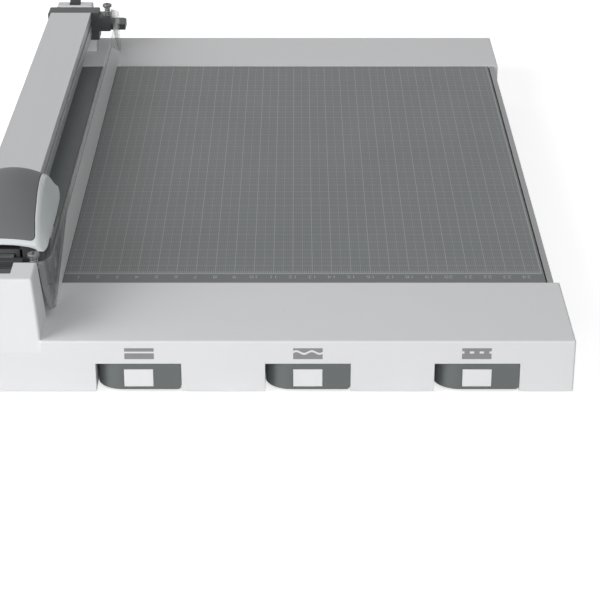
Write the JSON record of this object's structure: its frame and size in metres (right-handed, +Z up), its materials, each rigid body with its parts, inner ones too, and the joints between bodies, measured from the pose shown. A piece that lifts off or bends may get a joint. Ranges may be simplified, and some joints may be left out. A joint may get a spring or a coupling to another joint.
{
  "type": "rotary paper trimmer",
  "caption": "Desk paper trimmer with a gridded deck, a hinged aluminium rail with a sliding cutting head, a smoked guard strip and spare cutter cartridges stored in its end cap.",
  "frame": {"origin": "middle of the footprint on the table", "axes": "+X across the deck away from the rail, +Y from the cartridge storage end to the lift end, +Z up"},
  "size_m": [0.309, 0.466, 0.0805],
  "materials": {
    "cap_plastic": "fine textured",
    "tray_plastic": "satin",
    "deck_plastic": "satin, printed with a grid",
    "strip_plastic": "satin",
    "foot_rubber": "matte",
    "screw_steel": "zinc plated",
    "pin_steel": "ground",
    "plug_plastic": "fine textured",
    "rail_aluminium": "anodised satin",
    "end_plastic": "fine textured",
    "lock_plastic": "fine textured",
    "guard_smoke": "clear smoke",
    "spring_steel": "drawn wire",
    "frame_plastic": "satin",
    "glide_plastic": "polished",
    "shell_plastic": "silver satin",
    "grip_plastic": "soft touch",
    "cartridge_plastic": "satin",
    "tab_plastic": "satin",
    "blade_steel": "ground edge"
  },
  "bodies": {
    "base": {"base_tray": "tray_plastic", "rubber_feet": "foot_rubber", "tray_screws": "screw_steel", "deck_plate": "deck_plastic", "cutting_strip": "strip_plastic", "storage_end_cap": "cap_plastic", "lift_end_cap": "cap_plastic", "hinge_pin": "pin_steel", "hinge_plug": "plug_plastic"},
    "rail_arm": {"rail": "rail_aluminium", "rail_knuckle": "end_plastic", "rail_lift_end": "end_plastic", "rail_end_screws": "screw_steel", "guard_screws": "screw_steel", "guard_spring_near": "spring_steel", "guard_spring_far": "spring_steel"},
    "guard": {"guard_strip": "guard_smoke"},
    "carriage": {"carriage_frame": "frame_plastic", "carriage_glides": "glide_plastic", "carriage_shell": "shell_plastic", "shell_screws": "screw_steel", "press_spring_near": "spring_steel", "press_spring_far": "spring_steel"},
    "press_head": {"grip_pad": "grip_plastic", "press_holder": "frame_plastic", "head_cartridge_body": "cartridge_plastic", "head_cartridge_tab": "tab_plastic", "head_blade_axle": "pin_steel"},
    "turning_head_blade": {"head_blade": "blade_steel"},
    "lock_bolt": {"rail_lock": "lock_plastic"},
    "straight_cartridge": {"straight_cartridge_body": "cartridge_plastic", "straight_cartridge_tab": "tab_plastic", "straight_blade_axle": "pin_steel"},
    "turning_straight_blade": {"straight_blade": "blade_steel"},
    "wave_cartridge": {"wave_cartridge_body": "cartridge_plastic", "wave_cartridge_tab": "tab_plastic", "wave_blade_axle": "pin_steel"},
    "turning_wave_blade": {"wave_blade": "blade_steel"},
    "perforation_cartridge": {"perforation_cartridge_body": "cartridge_plastic", "perforation_cartridge_tab": "tab_plastic", "perforation_blade_axle": "pin_steel"},
    "turning_perforation_blade": {"perforation_blade": "blade_steel"}
  },
  "joints": [
    {"name": "rail_lift", "type": "hinge", "parent": "base", "child": "rail_arm", "pos_m": [-0.1275, -0.213, 0.0505], "axis": [1, 0, 0], "range_deg": [0, 35]},
    {"name": "carriage_slide", "type": "slide", "parent": "rail_arm", "child": "carriage", "axis": [0, 1, 0], "range_m": [0, 0.312]},
    {"name": "guard_float", "type": "slide", "parent": "rail_arm", "child": "guard", "axis": [0, 0, 1], "range_m": [0, 0.0015], "stiffness_N_per_m": 800, "springref_m": -0.005, "deforming": ["guard_spring_near", "guard_spring_far"]},
    {"name": "head_press", "type": "slide", "parent": "carriage", "child": "press_head", "axis": [0, 0, -1], "range_m": [0, 0.003], "stiffness_N_per_m": 600, "springref_m": -0.004, "deforming": ["press_spring_near", "press_spring_far"]},
    {"name": "head_blade_spin", "type": "hinge", "parent": "press_head", "child": "turning_head_blade", "pos_m": [-0.1015, -0.169, 0.0395], "axis": [1, 0, 0], "continuous": true},
    {"name": "rail_lock_slide", "type": "slide", "parent": "base", "child": "lock_bolt", "axis": [0, -1, 0], "range_m": [0, 0.004]},
    {"name": "straight_cartridge_out", "type": "slide", "parent": "base", "child": "straight_cartridge", "axis": [0, -1, 0], "range_m": [0, 0.034]},
    {"name": "straight_blade_spin", "type": "hinge", "parent": "straight_cartridge", "child": "turning_straight_blade", "pos_m": [-0.05585, -0.215, 0.0033], "axis": [0, 0, 1], "continuous": true},
    {"name": "wave_cartridge_out", "type": "slide", "parent": "base", "child": "wave_cartridge", "axis": [0, -1, 0], "range_m": [0, 0.034]},
    {"name": "wave_blade_spin", "type": "hinge", "parent": "wave_cartridge", "child": "turning_wave_blade", "pos_m": [0.02585, -0.215, 0.0033], "axis": [0, 0, 1], "continuous": true},
    {"name": "perforation_cartridge_out", "type": "slide", "parent": "base", "child": "perforation_cartridge", "axis": [0, -1, 0], "range_m": [0, 0.034]},
    {"name": "perforation_blade_spin", "type": "hinge", "parent": "perforation_cartridge", "child": "turning_perforation_blade", "pos_m": [0.10755, -0.215, 0.0033], "axis": [0, 0, 1], "continuous": true}
  ],
  "couplings": [
    {"joint": "head_blade_spin", "follows": "carriage_slide", "rad_per_m": -111.11}
  ]
}
